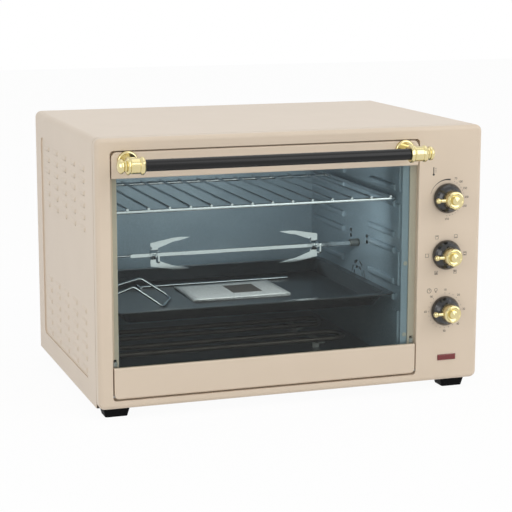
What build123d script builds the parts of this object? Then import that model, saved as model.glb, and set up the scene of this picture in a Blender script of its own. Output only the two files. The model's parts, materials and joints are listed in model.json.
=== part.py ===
from build123d import *
import math
import os

# Electric countertop oven with a drop-down glass door, three dials, a spit,
# a wire rack and a baking tray.
# Working frame: X to the right, Y to the back from the rear plane of the front
# frame, Z up from the underside of the casing. place() moves it so that the
# origin is the bottom centre of the whole oven, on the worktop.

# Casing
width = 540.0
shell_height = 354.0
shell_depth = 360.0
shell_sheet = 0.8
shell_bend = 9.0
seam_gap = 1.5
foot_height = 15.0
foot_top_width = 38.0
foot_bottom_width = 30.0
foot_depth = 27.0
foot_side_inset = 9.0
front_foot_y = 5.0
rear_foot_inset = 85.0
foot_screw_diameter = 5.0
cord_gland_reach = 6.0
cord_gland_diameter = 20.0
casing_screw_diameter = 7.0
casing_screw_height = 2.0

# Side vents
vent_field_front = 42.0
vent_field_back_margin = 35.0
vent_field_bottom = 29.0
vent_field_top_margin = 34.0
vent_field_radius = 10.0
vent_field_recess = 1.5
louvre_length = 30.0
louvre_height = 6.5
louvre_proud = 1.4
louvre_slit = 1.2
louvre_taper = 4.0
rear_slot_height = 4.0
louvre_pitch_y = 54.8
louvre_pitch_z = 16.0
louvre_columns = 5
louvre_rows = 6
louvre_first_y = 68.0
louvre_lower_z = 39.0
louvre_upper_drop = 126.0

# Front frame
frame_depth = 14.0
frame_wall = 2.0
frame_edge = 6.0
frame_corner = 9.0
panel_width = 93.0
door_border_left = 19.0
door_border_top = 16.0
door_border_bottom = 11.0
ledge_recess = 8.0
ledge_sheet = 2.0
ledge_side = 10.0
ledge_top = 12.0
ledge_bottom = 15.0
ledge_screw_diameter = 6.0
ledge_screw_height = 0.6
flange_screw_offset = 6.0
flange_screw_above_rail = 12.0
flange_screw_pitch = 99.5

# Door
door_gap = 2.0
door_thickness = 7.0
door_corner = 8.0
pocket_corner = 5.0
top_rail_height = 34.0
bottom_rail_height = 42.0
rail_edge = 2.0
rail_lower_edge = 3.0
glass_thickness = 4.0
glass_setback = 1.5
glass_side_inset = 1.5
glass_bite = 12.0
hinge_pin_diameter = 4.0
hinge_pin_bite = 12.0
hinge_pin_height = 4.0
pin_play = 0.05
stay_radius = 43.0
stay_width = 5.0
stay_sheet = 2.0
stay_play = 1.0
stay_end_angle = -3.0
stay_tab_height = 22.0
stay_tab_sheet = 0.7

# Handle
handle_stand = 60.0
handle_drop = 12.0
handle_tube = 15.0
handle_tube_wall = 1.2
handle_tube_left_margin = 30.5
handle_tube_right_margin = 34.0
fitting_body = 20.0
fitting_ring = 23.0
fitting_cap = 18.0
post_left_inset = 21.0
post_right_inset = 20.5
post_diameter = 14.0
post_flange = 27.0
post_flange_thickness = 4.0
handle_screw = 4.0

# Cavity
cavity_sheet = 0.8
cavity_left_gap = 10.0
cavity_right_gap = 20.0
cavity_lift = 17.0
cavity_height = 298.0
cavity_back_gap = 22.0
cavity_left_flange = 3.0
cavity_right_flange = 12.0
band_proud = 2.5
band_depth = 20.0
band_start = 1.0
band_end_gap = 3.5
guide_proud = 5.0
guide_height = 8.0
guide_gap = 14.0
guide_front_start = 14.0
guide_front_end = 104.0
guide_rear_start = 200.0
guide_rear_end_gap = 12.0
lowest_shelf = 93.0
shelf_pitch = 65.0
shelf_count = 3

# Rack, tray and what lies in the tray
rack_side_gap = 1.5
rack_frame_wire = 5.0
rack_cross_wire = 3.5
rack_front_y = 17.0
rack_back_y = 262.0
rack_wire_count = 14
rack_pitch = 28.4
rack_pattern_shift = 5.0
tray_side_gap = 1.5
tray_front_y = 8.0
tray_back_gap = 42.0
tray_sheet = 1.2
tray_rim = 9.0
tray_depth = 18.0
tray_taper = 10.0
tray_corner = 14.0
booklet_length = 146.0
booklet_width = 105.0
booklet_thickness = 3.0
booklet_x = -30.0
booklet_y = 168.0
lifter_wire = 3.5
lifter_front_y = 95.0
lifter_back_y = 149.0
lifter_peak = 30.0
lifter_rod_y = 230.0
lifter_rod_left = -150.0
lifter_rod_right = 77.0
lifter_wing = 22.0
lifter_play = 0.3

# Spit
spit_y = 150.0
spit_rise = 142.0
spit_square = 6.0
spit_left_gap = 8.0
spit_left_pin = 3.0
spit_square_start = 57.0
spit_hook_reach = 16.0
socket_diameter = 11.0
socket_reach = 12.0
socket_play = 0.4
spindle_diameter = 8.0
spindle_clearance = 2.0
fork_left_gap = 91.0
fork_right_gap = 69.0
fork_half_width = 5.0
fork_base_half = 16.5
fork_spread = 23.0
fork_prong_length = 53.0
fork_sheet = 1.8
fork_rib = 0.4
fork_hub_diameter = 14.0
fork_hub_length = 10.0

# Heating elements
heater_tube = 7.0
heater_bend = 20.0
heater_floor_gap = 16.0
heater_roof_gap = 22.0
heater_front_y = 95.0
heater_rear_y = 225.0
heater_right_gap = 38.0
bush_diameter = 14.0
bush_length = 8.0
clip_sheet = 2.0

# Controls
knob_side_margin = 51.0
knob_top_drop = 98.5
knob_pitch = 78.3
knob_count = 3
skirt_diameter = 41.0
skirt_height = 14.0
skirt_panel_gap = 0.8
cap_diameter = 24.5
cap_height = 14.0
cap_dome_diameter = 13.0
cap_dome_height = 4.0
lever_length = 23.0
lever_diameter = 4.6
lever_ball = 7.6
shaft_diameter = 6.0
shaft_play = 0.3
shaft_tail = 10.0
control_body_size = 38.0
control_body_depth = 30.0
timer_body_depth = 42.0
lamp_side_margin = 47.0
lamp_z = 32.8
lamp_width = 27.0
lamp_height = 8.0
lamp_proud = 1.6
lamp_housing_depth = 22.0

# Motors behind the right cavity wall
fan_y = 148.0
fan_rise = 90.0
fan_diameter = 62.0
fan_depth = 12.0
fan_wall_gap = 4.0
fan_blades = 8
fan_hub = 16.0
fan_shaft = 5.0
shroud_side = 80.0
shroud_depth = 21.0
shroud_sheet = 1.0
bracket_gap = 3.0
bracket_sheet = 1.5
bracket_front_y = 96.0
bracket_back_y = 204.0
bracket_below_fan = 52.0
bracket_above_spit = 38.0
spit_motor_diameter = 46.0
spit_motor_depth = 22.0
fan_motor_width = 56.0
fan_motor_height = 40.0
fan_motor_depth = 34.0

# Derived places
half_width = width / 2
rear_foot_y = shell_depth - rear_foot_inset
vent_field_back = shell_depth - vent_field_back_margin
vent_field_top = shell_height - vent_field_top_margin
louvre_upper_z = shell_height - louvre_upper_drop
door_left = -half_width + door_border_left
door_right = half_width - panel_width
door_centre = (door_left + door_right) / 2
pocket_bottom = door_border_bottom
pocket_top = shell_height - door_border_top
leaf_left = door_left + door_gap
leaf_right = door_right - door_gap
leaf_bottom = pocket_bottom + door_gap
leaf_top = pocket_top - door_gap
leaf_width = leaf_right - leaf_left
door_front = -frame_depth
door_back = door_front + door_thickness
ledge_y = -frame_depth + ledge_recess
ledge_back = ledge_y + ledge_sheet
hinge_y = door_front + door_thickness / 2
hinge_z = leaf_bottom + hinge_pin_height
cavity_left = door_left + cavity_left_gap
cavity_right = door_right - cavity_right_gap
cavity_bottom = pocket_bottom + cavity_lift
cavity_top = cavity_bottom + cavity_height
cavity_back = shell_depth - cavity_back_gap
guide_rear_end = cavity_back - guide_rear_end_gap
shelf_levels = [cavity_bottom + lowest_shelf + index * shelf_pitch for index in range(shelf_count)]
tray_back_y = cavity_back - tray_back_gap
spit_z = cavity_bottom + spit_rise
fork_left_x = cavity_left + fork_left_gap
fork_right_x = cavity_right - fork_right_gap
heater_lower_z = cavity_bottom + heater_floor_gap
heater_upper_z = cavity_top - heater_roof_gap
fan_z = cavity_bottom + fan_rise
bracket_bottom_z = fan_z - bracket_below_fan
bracket_top_z = spit_z + bracket_above_spit
knob_x = half_width - knob_side_margin
knob_top_z = shell_height - knob_top_drop
lamp_x = half_width - lamp_side_margin
glass_front = door_front + glass_setback
glass_back = glass_front + glass_thickness
handle_y = door_front - handle_stand + frame_depth
handle_height = leaf_top - handle_drop
handle_tube_left = leaf_left + handle_tube_left_margin
handle_tube_right = leaf_right - handle_tube_right_margin
rack_left = cavity_left + rack_side_gap
rack_right = cavity_right - rack_side_gap
wall_outer = cavity_right + cavity_sheet
bracket_x = wall_outer + shroud_depth + bracket_gap
panel_back = -frame_depth + frame_wall
front_reach = handle_stand + fitting_ring / 2
back_reach = shell_depth + cord_gland_reach
y_shift = (front_reach - back_reach) / 2


def place(node, shape):
    """Move a finished piece to the shared origin and write its file."""
    shape = Pos(0, y_shift, foot_height) * shape
    shape.label = node
    export_step(shape, f"parts/{node}.step")


def block(x0, x1, y0, y1, z0, z1):
    """Box between two corners."""
    centre = Pos((x0 + x1) / 2, (y0 + y1) / 2, (z0 + z1) / 2)
    return centre * Box(abs(x1 - x0), abs(y1 - y0), abs(z1 - z0))


def rod_x(x0, x1, y, z, diameter):
    """Round bar along X."""
    return Pos((x0 + x1) / 2, y, z) * Rot(0, 90, 0) * Cylinder(diameter / 2, abs(x1 - x0))


def rod_y(x, y0, y1, z, diameter):
    """Round bar along Y."""
    return Pos(x, (y0 + y1) / 2, z) * Rot(90, 0, 0) * Cylinder(diameter / 2, abs(y1 - y0))


def rod_z(x, y, z0, z1, diameter):
    """Round bar along Z."""
    return Pos(x, y, (z0 + z1) / 2) * Cylinder(diameter / 2, abs(z1 - z0))


def rounded_slab_y(x0, x1, z0, z1, y0, y1, radius):
    """Upright slab with rounded corners, thick along Y."""
    face = Plane.XZ * Pos((x0 + x1) / 2, (z0 + z1) / 2) * RectangleRounded(x1 - x0, z1 - z0, radius)
    return Pos(0, max(y0, y1), 0) * extrude(face, abs(y1 - y0))


def turned(profile):
    """Solid turned about Z from (radius, height) points, starting and ending on the axis."""
    face = make_face(Polyline([(r, 0, h) for r, h in profile], close=True))
    return revolve(face, Axis.Z)


def louvre_places():
    """Y and Z of every louvre of one side wall."""
    places = []
    for row_start in (louvre_lower_z, louvre_upper_z):
        for row in range(louvre_rows):
            for column in range(louvre_columns):
                places.append((louvre_first_y + column * louvre_pitch_y, row_start + row * louvre_pitch_z))
    return places


def louvre_hoods(side):
    """Pressed hoods that stand out of one vent field."""
    hoods = []
    sheet_x = side * (half_width - vent_field_recess)
    for y, z in louvre_places():
        base = Pos(sheet_x, 0, 0) * (Plane.YZ * Pos(y, z) * Rectangle(louvre_length, louvre_height))
        crest_z = z - louvre_height / 4
        crest = Plane.YZ * Pos(y, crest_z) * Rectangle(louvre_length - 2 * louvre_taper, louvre_height / 2)
        hoods.append(loft([base, Pos(sheet_x + side * louvre_proud, 0, 0) * crest]))
    return hoods


def louvre_slits(side):
    """Narrow openings under the hoods of one side wall."""
    slits = []
    sheet_x = side * (half_width - vent_field_recess)
    for y, z in louvre_places():
        top = z - louvre_height / 2
        half = louvre_length / 2 - louvre_taper / 2
        slits.append(block(sheet_x - 3, sheet_x + 3, y - half, y + half, top - louvre_slit, top))
    return slits


def outer_shell():
    """Top and both sides, bent from one sheet, with recessed vent fields."""
    def arch(inset):
        face = Plane.XZ * Pos(0, shell_height / 2) * Rectangle(width - 2 * inset, shell_height)
        solid = Pos(0, shell_depth, -inset) * extrude(face, shell_depth - seam_gap)
        top_edges = solid.edges().filter_by(Axis.Y).group_by(Axis.Z)[-1]
        return fillet(top_edges, shell_bend - inset)

    def field(side, grow, x0, x1):
        face = Plane.YZ * Pos(
            (vent_field_front + vent_field_back) / 2, (vent_field_bottom + vent_field_top) / 2
        ) * RectangleRounded(
            vent_field_back - vent_field_front + 2 * grow,
            vent_field_top - vent_field_bottom + 2 * grow,
            vent_field_radius + grow,
        )
        return Pos(side * x0, 0, 0) * extrude(face, side * (x1 - x0))

    shell = arch(0) - arch(shell_sheet)
    for side in (-1, 1):
        pad = field(side, shell_sheet, half_width - shell_sheet - vent_field_recess, half_width - shell_sheet)
        pocket = field(side, 0, half_width - vent_field_recess, half_width + shell_sheet)
        shell = shell + pad - pocket - louvre_slits(side) + louvre_hoods(side)
    return shell


def front_frame():
    """Pressed front frame with the door recess and the control panel."""
    plate = rounded_slab_y(-half_width, half_width, 0, shell_height, -frame_depth, 0, frame_corner)
    plate = fillet(plate.faces().sort_by(Axis.Y)[0].edges(), frame_edge)
    void = rounded_slab_y(
        -half_width + frame_wall, half_width - frame_wall, frame_wall, shell_height - frame_wall,
        -frame_depth + frame_wall, 0, frame_corner - frame_wall,
    )
    void = fillet(void.faces().sort_by(Axis.Y)[0].edges(), frame_edge - frame_wall)
    surround = block(
        door_left - frame_wall, door_right + frame_wall,
        -frame_depth, ledge_back, pocket_bottom - frame_wall, pocket_top + frame_wall,
    )
    void = void - surround
    pocket = rounded_slab_y(
        door_left, door_right, pocket_bottom, pocket_top, -frame_depth - 1, ledge_y, pocket_corner
    )
    opening = rounded_slab_y(
        door_left + ledge_side, door_right - ledge_side, pocket_bottom + ledge_bottom,
        pocket_top - ledge_top, ledge_y - 1, ledge_back + 1, door_corner,
    )
    frame = plate - void - pocket - opening
    for x in stay_places():
        frame -= block(
            x - stay_sheet / 2 - stay_play, x + stay_sheet / 2 + stay_play, ledge_y - 1, ledge_back + 1,
            hinge_z + stay_radius - stay_width, hinge_z + stay_radius + stay_width,
        )
    for x in (door_left, door_right):
        frame -= rod_x(x - 3 * frame_wall, x + 3 * frame_wall, hinge_y, hinge_z, hinge_pin_diameter)
    for index in range(knob_count):
        hole = shaft_diameter + 2 * shaft_play + 2
        frame -= rod_y(knob_x, -frame_depth - 1, 0, knob_z(index), hole)
    frame -= block(
        lamp_x - lamp_width / 2, lamp_x + lamp_width / 2, -frame_depth - 1, 0,
        lamp_z - lamp_height / 2, lamp_z + lamp_height / 2,
    )
    return frame


def stay_places():
    """X of the left and right door stays, mid-way across the side ledges."""
    return (door_left + ledge_side / 2, door_right - ledge_side / 2)


def knob_z(index):
    """Height of one dial, counted from the top."""
    return knob_top_z - index * knob_pitch


def back_panel():
    """Rear cover with vent slots, the cord gland hole and screw holes."""
    inset = shell_sheet
    panel = rounded_slab_y(
        -half_width + inset, half_width - inset, 0, shell_height - inset,
        shell_depth - shell_sheet, shell_depth, shell_bend - inset,
    )
    panel -= block(-half_width, half_width, shell_depth - 2, shell_depth + 1, -1, shell_sheet)
    for column in range(-4, 5):
        for row in range(4):
            slot = Plane.XZ * Pos(column * 44, shell_height / 2 + 60 + row * 14) * SlotOverall(32, rear_slot_height)
            panel -= Pos(0, shell_depth + 1, 0) * extrude(slot, 3)
    panel -= rod_y(gland_x(), shell_depth - 2, shell_depth + 1, gland_z(), cord_gland_diameter - 4)
    return panel


def gland_x():
    """Cord outlet, behind the control compartment."""
    return knob_x


def gland_z():
    """Cord outlet height."""
    return cavity_bottom + cord_gland_diameter


def cord_gland():
    """Moulded cord bush, flange outside and neck through the rear panel."""
    neck = rod_y(gland_x(), shell_depth - 8, shell_depth, gland_z(), cord_gland_diameter - 4)
    flange = rod_y(gland_x(), shell_depth, shell_depth + cord_gland_reach, gland_z(), cord_gland_diameter)
    bore = rod_y(gland_x(), shell_depth - 9, shell_depth + cord_gland_reach + 1, gland_z(), 8)
    return neck + flange - bore


def base_panel():
    """Underside plate between the front frame and the rear cover."""
    plate = block(-half_width + shell_sheet, half_width - shell_sheet, 0, shell_depth, 0, shell_sheet)
    for x, y in foot_places():
        plate -= rod_z(x, y, -1, shell_sheet + 1, foot_screw_diameter)
    return plate


def foot_places():
    """Centres of the four feet."""
    x = half_width - foot_side_inset - foot_top_width / 2
    return [(-x, front_foot_y + foot_depth / 2), (x, front_foot_y + foot_depth / 2),
            (-x, rear_foot_y), (x, rear_foot_y)]


def foot(x, y):
    """Tapered foot with a screw hole."""
    top = Pos(x, y, 0) * RectangleRounded(foot_top_width, foot_depth + 4, 4)
    bottom = Pos(x, y, -foot_height) * RectangleRounded(foot_bottom_width, foot_depth - 2, 3)
    solid = loft([bottom, top])
    solid -= rod_z(x, y, -foot_height, 1, foot_screw_diameter)
    return solid - rod_z(x, y, -foot_height, -foot_height / 2, 2 * foot_screw_diameter)


def fixing_screws():
    """Screws of the feet, the rear cover and the cavity's flange, as one group."""
    screws = []
    for x, y in foot_places():
        shank = rod_z(x, y, -foot_height / 2 - 1, shell_sheet + 5, foot_screw_diameter)
        head = rod_z(x, y, -foot_height / 2 - 4, -foot_height / 2, 2 * foot_screw_diameter - 1)
        screws.append(shank + head)
    for x in (-half_width + 14, 0, half_width - 14):
        for z in (16, shell_height - 16):
            screws.append(rod_y(x, shell_depth, shell_depth + casing_screw_height, z, casing_screw_diameter))
    for index in range(2):
        z = leaf_bottom + bottom_rail_height + flange_screw_above_rail + index * flange_screw_pitch
        x = cavity_right + flange_screw_offset
        screws.append(rod_y(x, ledge_back - ledge_screw_height, ledge_back, z, ledge_screw_diameter))
    return Compound(screws)


def door_rail(z0, z1, slot_low, slot_high, low_radius):
    """Hollow rail across the door with a slot for the glass."""
    rail = block(leaf_left, leaf_right, door_front, door_back, z0, z1)
    high_edges = rail.edges().filter_by(Axis.X).group_by(Axis.Z)[-1]
    rail = fillet(high_edges, rail_edge)
    low_edges = rail.edges().filter_by(Axis.X).group_by(Axis.Z)[0]
    rail = fillet(low_edges, low_radius)
    rail &= rounded_slab_y(leaf_left, leaf_right, leaf_bottom, leaf_top, door_front, door_back, door_corner)
    slot = block(
        leaf_left + glass_side_inset, leaf_right - glass_side_inset, glass_front, glass_back, slot_low, slot_high
    )
    return rail - slot


def door_top_rail():
    """Upper door rail with the handle's screw holes."""
    low = leaf_top - top_rail_height
    rail = door_rail(low, leaf_top, low, glass_top(), rail_edge)
    for x in post_places():
        rail -= rod_y(x, door_front - 1, door_back + 1, handle_height, handle_screw)
    return rail


def door_bottom_rail():
    """Lower door rail with the hinge bores."""
    high = leaf_bottom + bottom_rail_height
    rail = door_rail(leaf_bottom, high, glass_bottom(), high, rail_lower_edge)
    bore = hinge_pin_diameter + 2 * pin_play
    for x, inward in ((leaf_left, 1), (leaf_right, -1)):
        rail -= rod_x(x - inward, x + inward * (hinge_pin_bite + 1), hinge_y, hinge_z, bore)
    return rail


def glass_top():
    """Upper edge of the glass, inside the upper rail."""
    return leaf_top - top_rail_height + glass_bite


def glass_bottom():
    """Lower edge of the glass, inside the lower rail."""
    return leaf_bottom + bottom_rail_height - glass_bite


def door_glass():
    """Toughened pane held by both rails."""
    return block(
        leaf_left + glass_side_inset, leaf_right - glass_side_inset,
        glass_front, glass_back, glass_bottom(), glass_top(),
    )


def hinge_pin(side):
    """Pin fixed in the frame that the lower rail turns on."""
    if side < 0:
        return rod_x(door_left - 2 * frame_wall, leaf_left + hinge_pin_bite, hinge_y, hinge_z, hinge_pin_diameter)
    return rod_x(leaf_right - hinge_pin_bite, door_right + 2 * frame_wall, hinge_y, hinge_z, hinge_pin_diameter)


def door_stay(x):
    """Curved stay on the door that slides through the ledge slot as the door opens."""
    outer = stay_radius + stay_width / 2
    inner = stay_radius - stay_width / 2
    ring = rod_x(x - stay_sheet / 2, x + stay_sheet / 2, hinge_y, hinge_z, 2 * outer)
    ring -= rod_x(x - stay_sheet, x + stay_sheet, hinge_y, hinge_z, 2 * inner)
    start = door_back - hinge_y + stay_tab_sheet / 2
    end_angle = math.radians(stay_end_angle)
    reach = 2 * outer
    wedge_face = make_face(Polyline([
        (0, hinge_y, hinge_z),
        (0, hinge_y + reach * math.cos(end_angle), hinge_z + reach * math.sin(end_angle)),
        (0, hinge_y + reach, hinge_z + reach),
        (0, hinge_y, hinge_z + reach),
    ], close=True))
    wedge = extrude(wedge_face, stay_sheet * 2, both=True)
    wedge = Pos(x, 0, 0) * wedge & block(
        x - 10, x + 10, hinge_y + start, hinge_y + reach, hinge_z - stay_width, hinge_z + reach
    )
    arc = ring & wedge
    tab = block(
        x - stay_width / 2, x + stay_width / 2, door_back, door_back + stay_tab_sheet,
        hinge_z + stay_radius - stay_tab_height, hinge_z + outer - 1,
    )
    return arc + tab


def post_places():
    """X of the two handle posts."""
    return (leaf_left + post_left_inset, leaf_right - post_right_inset)


def handle_bar():
    """Straight tube between the two end fittings."""
    bar = rod_x(handle_tube_left, handle_tube_right, handle_y, handle_height, handle_tube)
    bore = rod_x(
        handle_tube_left - 1, handle_tube_right + 1, handle_y, handle_height, handle_tube - 2 * handle_tube_wall
    )
    return bar - bore


def handle_end(tube_end, post_x, outward):
    """End fitting: collar on the tube, body, ring, neck and finial, with its post and flange."""
    ring = fitting_ring / 2
    body = fitting_body / 2
    cap = fitting_cap / 2
    profile = [
        (0, 0), (ring - 1.5, 0), (ring, 1.5), (ring, 3.5), (ring - 1.5, 5), (body - 0.5, 6), (body, 7),
        (body, 17), (body - 0.5, 18), (ring - 0.8, 19.5), (ring - 0.3, 21), (ring - 0.8, 22.5),
        (cap - 1.5, 24), (cap - 2.2, 25.5), (cap - 1.5, 27), (cap, 28), (cap + 0.4, 29.5), (cap, 31),
        (cap - 1.5, 33), (cap - 4, 34.4), (0, 35),
    ]
    fitting = Pos(tube_end, handle_y, handle_height) * Rot(0, 90 * outward, 0) * turned(profile)
    flange = rod_y(post_x, door_front - post_flange_thickness, door_front, handle_height, post_flange)
    flange = fillet(flange.faces().sort_by(Axis.Y)[0].edges(), post_flange_thickness * 0.6)
    stem = rod_y(post_x, handle_y, door_front - 1, handle_height, post_diameter)
    collar_y = (door_front + handle_y - fitting_body / 2) / 2
    collar = rod_y(post_x, collar_y - 2, collar_y + 2, handle_height, post_diameter + 4)
    collar = fillet(collar.edges().filter_by(GeomType.CIRCLE), 1.8)
    bore = rod_y(post_x, door_front - 12, door_front + 1, handle_height, handle_screw)
    return fitting + flange + stem + collar - bore


def rail_screws():
    """Handle screws, heads on the inside of the upper rail."""
    screws = []
    for x in post_places():
        head = rod_y(x, door_back, door_back + 0.6, handle_height, handle_screw + 3)
        screws.append(head + rod_y(x, door_front - 10, door_back, handle_height, handle_screw))
    return Compound(screws)


def cavity_side(side):
    """Side wall with its front flange and pressed shelf guides."""
    inner = cavity_left if side < 0 else cavity_right
    outer = inner + side * cavity_sheet
    wall = block(inner, outer, ledge_back, cavity_back, cavity_bottom, cavity_top)
    flange = cavity_left_flange if side < 0 else cavity_right_flange
    wall += block(inner, inner + side * flange, ledge_back, ledge_back + cavity_sheet, cavity_bottom, cavity_top)
    for level in shelf_levels:
        for start, end in ((guide_front_start, guide_front_end), (guide_rear_start, guide_rear_end)):
            for z in (level - guide_height, level + guide_gap):
                bead = block(inner, inner - side * guide_proud, start, end, z, z + guide_height)
                face = bead.faces().sort_by(Axis.X)[0 if side > 0 else -1]
                bead = fillet(face.edges(), 2.5)
                wall += bead
    for low, high in band_spans():
        band = block(inner, inner - side * band_proud, band_start, band_start + band_depth, low, high)
        face = band.faces().sort_by(Axis.X)[0 if side > 0 else -1]
        wall += fillet(face.edges(), band_proud * 0.8)
    if side > 0:
        wall -= wall_openings()
    else:
        wall -= [
            rod_x(inner - 3, inner + 3, y, z, bush_diameter - 4)
            for y in heater_end_places()
            for z in (heater_lower_z, heater_upper_z)
        ]
    return wall


def band_spans():
    """Heights of the upright pressed bands at the front of a side wall."""
    spans = []
    low = cavity_bottom + band_end_gap
    for level in shelf_levels:
        spans.append((low, level - band_end_gap - tray_depth * (level == shelf_levels[0])))
        low = level + guide_gap
    spans.append((low, cavity_top - 2 * guide_height))
    return spans


def wall_openings():
    """Spindle hole, square vents and fan louvres of the right wall."""
    cutters = [rod_x(cavity_right - 3, wall_outer + 3, spit_y, spit_z, spindle_diameter + 2 * spindle_clearance)]
    for y in (spit_y - 32, spit_y + 28):
        for z in (spit_z + 6, spit_z + 14):
            cutters.append(block(cavity_right - 3, wall_outer + 3, y - 4, y + 4, z - 2.5, z + 2.5))
    for radius in (16, 24):
        for index in range(8):
            angle = 360 * index / 8 + 22.5
            slot = Plane.YZ * Pos(fan_y, fan_z) * Rot(0, 0, angle) * Pos(radius, 0) * SlotOverall(
                0.55 * radius, 4, rotation=90)
            cutters.append(Pos(cavity_right, 0, 0) * extrude(slot, 4, both=True))
    return cutters


def cavity_plate(z0, z1):
    """Roof or floor plate of the cavity."""
    outer_left = cavity_left - cavity_sheet
    return block(outer_left, wall_outer, ledge_back, cavity_back, z0, z1)


def cavity_back_wall():
    """Rear wall of the cavity with two shallow stiffening panels."""
    outer_left = cavity_left - cavity_sheet
    wall = block(
        outer_left, wall_outer, cavity_back, cavity_back + cavity_sheet,
        cavity_bottom - cavity_sheet, cavity_top + cavity_sheet,
    )
    return wall


def heater(y0, z):
    """Hairpin heating tube with both ends through the left wall."""
    y1 = y0 + 2 * heater_bend
    right = cavity_right - heater_right_gap - heater_bend
    left = cavity_left - 16
    legs = rod_x(left, right, y0, z, heater_tube) + rod_x(left, right, y1, z, heater_tube)
    bend = Pos(right, y0 + heater_bend, z) * Torus(heater_bend, heater_tube / 2)
    bend = bend & block(right, right + 3 * heater_bend, y0 - 20, y1 + 20, z - 10, z + 10)
    return legs + bend


def heater_bushes():
    """Ceramic bushes of the tube ends, outside the left wall."""
    bushes = []
    outer = cavity_left - cavity_sheet
    for z in (heater_lower_z, heater_upper_z):
        for y in heater_end_places():
            bush = rod_x(outer - bush_length, outer, y, z, bush_diameter)
            bushes.append(bush - rod_x(outer - bush_length - 1, outer + 1, y, z, heater_tube))
    return Compound(bushes)


def heater_end_places():
    """Y of the four tube ends at each level, front to back."""
    spread = 2 * heater_bend
    return (heater_front_y, heater_front_y + spread, heater_rear_y - spread, heater_rear_y)


def heater_clips():
    """T-shaped strips that carry the hairpins from the roof and the floor."""
    clips = []
    x = cavity_right - heater_right_gap - 2 * heater_bend
    half_tube = heater_tube / 2
    for y0 in (heater_front_y, heater_rear_y - 2 * heater_bend):
        y_mid = y0 + heater_bend
        span = heater_bend + 3
        for wall_z, bar_low, bar_high in (
            (cavity_bottom, heater_lower_z - half_tube - clip_sheet, heater_lower_z - half_tube),
            (cavity_top, heater_upper_z + half_tube, heater_upper_z + half_tube + clip_sheet),
        ):
            low = min(wall_z, bar_low)
            high = max(wall_z, bar_high)
            post = block(x - 5, x + 5, y_mid - clip_sheet / 2, y_mid + clip_sheet / 2, low, high)
            clips.append(post + block(x - 5, x + 5, y_mid - span, y_mid + span, bar_low, bar_high))
    return Compound(clips)


def wire_rack():
    """Chrome rack: frame wire and bars from front to back."""
    z = shelf_levels[2] + rack_frame_wire / 2 + 0.3
    half = rack_frame_wire / 2
    left = rack_left + half
    right = rack_right - half
    rack = rod_x(left, right, rack_front_y, z, rack_frame_wire)
    rack += rod_x(left, right, rack_back_y, z, rack_frame_wire)
    for x in (left, right):
        rack += rod_y(x, rack_front_y, rack_back_y, z, rack_frame_wire)
        for y in (rack_front_y, rack_back_y):
            rack += Pos(x, y, z) * Sphere(half)
    start = (left + right) / 2 - (rack_wire_count - 1) / 2 * rack_pitch + rack_pattern_shift
    top = z + half + rack_cross_wire / 2 - 1
    for index in range(rack_wire_count):
        x = start + index * rack_pitch
        rack += rod_y(x, rack_front_y - half - 1, rack_back_y + half + 1, top, rack_cross_wire)
    return rack


def baking_tray():
    """Pressed tray with tapered walls and a flat rim."""
    z_top = shelf_levels[0] + tray_sheet + 0.3
    left = cavity_left + tray_side_gap
    right = cavity_right - tray_side_gap
    x = (left + right) / 2
    y = (tray_front_y + tray_back_y) / 2
    length = right - left
    depth = tray_back_y - tray_front_y

    def basin(wall, lift):
        top = RectangleRounded(length - 2 * tray_rim - 2 * wall, depth - 2 * tray_rim - 2 * wall, tray_corner)
        low = RectangleRounded(
            length - 2 * tray_rim - 2 * tray_taper - 2 * wall,
            depth - 2 * tray_rim - 2 * tray_taper - 2 * wall, tray_corner,
        )
        return loft([Pos(x, y, z_top - tray_depth + lift) * low, Pos(x, y, z_top) * top])

    rim = Pos(x, y, z_top - tray_sheet) * extrude(RectangleRounded(length, depth, tray_corner), tray_sheet)
    body = rim + basin(0, 0)
    return body - basin(tray_sheet, tray_sheet)


def tray_floor_z():
    """Upper face of the tray's floor."""
    return shelf_levels[0] + 2 * tray_sheet + 0.3 - tray_depth


def booklet():
    """Paper-bound leaflet lying in the tray."""
    z = tray_floor_z()
    return block(
        booklet_x - booklet_length / 2, booklet_x + booklet_length / 2,
        booklet_y - booklet_width / 2, booklet_y + booklet_width / 2,
        z + lifter_play, z + lifter_play + booklet_thickness,
    )


def wire_path(points, radius, diameter):
    """Bent wire along rounded straight runs."""
    path = FilletPolyline(*points, radius=radius)
    section = Plane(path @ 0, z_dir=path % 0) * Circle(diameter / 2)
    return sweep(section, path)


def tray_lifter():
    """Looped wire handle that leans on the tray's left rim."""
    floor = tray_floor_z() + lifter_wire / 2 + lifter_play
    rim = shelf_levels[0] + tray_sheet + 0.3 + lifter_wire / 2 + lifter_play
    left = cavity_left + 9
    points = [
        (left + 14, lifter_back_y, rim + 2), (left + 62, lifter_back_y, floor + lifter_peak),
        (left + 106, lifter_back_y, floor), (left + 79, lifter_front_y, floor),
        (left + 38, lifter_front_y, floor + lifter_peak), (left, lifter_front_y, rim),
    ]
    return wire_path(points, 8, lifter_wire)


def spit_lifter():
    """Long thin rod with a cross wing for lifting the hot spit."""
    z = tray_floor_z() + lifter_wire / 2 + lifter_play
    rod = rod_x(lifter_rod_left, lifter_rod_right, lifter_rod_y, z, lifter_wire)
    half_wing = lifter_wing / 2
    return rod + rod_y(lifter_rod_left, lifter_rod_y - half_wing, lifter_rod_y + half_wing, z, lifter_wire)


def spit_rod():
    """Square spit from the left hook into the drive socket."""
    left = cavity_left + spit_square_start
    right = cavity_right - 2
    body = block(
        left, right, spit_y - spit_square / 2, spit_y + spit_square / 2,
        spit_z - spit_square / 2, spit_z + spit_square / 2,
    )
    body = chamfer(body.edges().filter_by(Axis.X), 0.6)
    pin = rod_x(cavity_left + spit_left_gap, left + 1, spit_y, spit_z, spit_left_pin)
    return body + pin


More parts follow.
